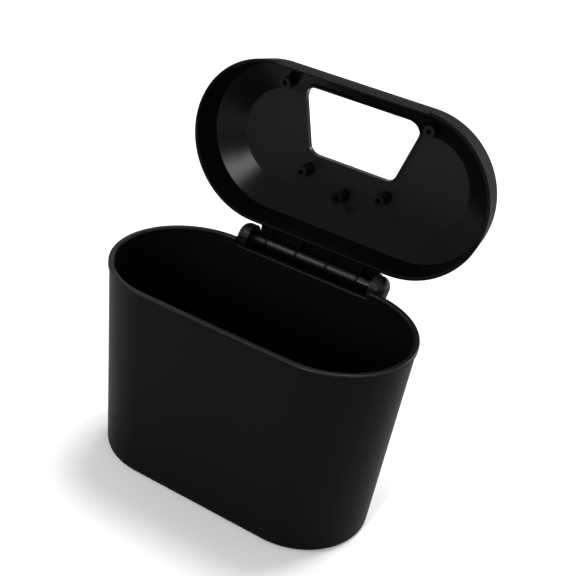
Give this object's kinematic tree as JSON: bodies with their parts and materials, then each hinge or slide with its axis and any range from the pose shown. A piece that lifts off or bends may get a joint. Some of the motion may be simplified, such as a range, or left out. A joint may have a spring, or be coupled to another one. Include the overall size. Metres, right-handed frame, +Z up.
{
  "type": "car trash bin",
  "caption": "Small oval car trash bin in black plastic with a hinged lid that has a drop-in window, shown open.",
  "frame": {"origin": "centre of the bin's flat base, on the surface it stands on", "axes": "+X along the long side, +Y from the front to the hinge side, +Z up"},
  "size_m": [0.1644, 0.1218, 0.1975],
  "materials": {
    "black_plastic": "satin black injection-moulded plastic with a fine grain"
  },
  "bodies": {
    "bin": {"bin": "black_plastic"},
    "lid": {"lid": "black_plastic"}
  },
  "joints": [
    {"name": "lid_hinge", "type": "hinge", "parent": "bin", "child": "lid", "pos_m": [0, 0.0504, 0.1048], "axis": [1, 0, 0], "range_deg": [0, 94]}
  ]
}
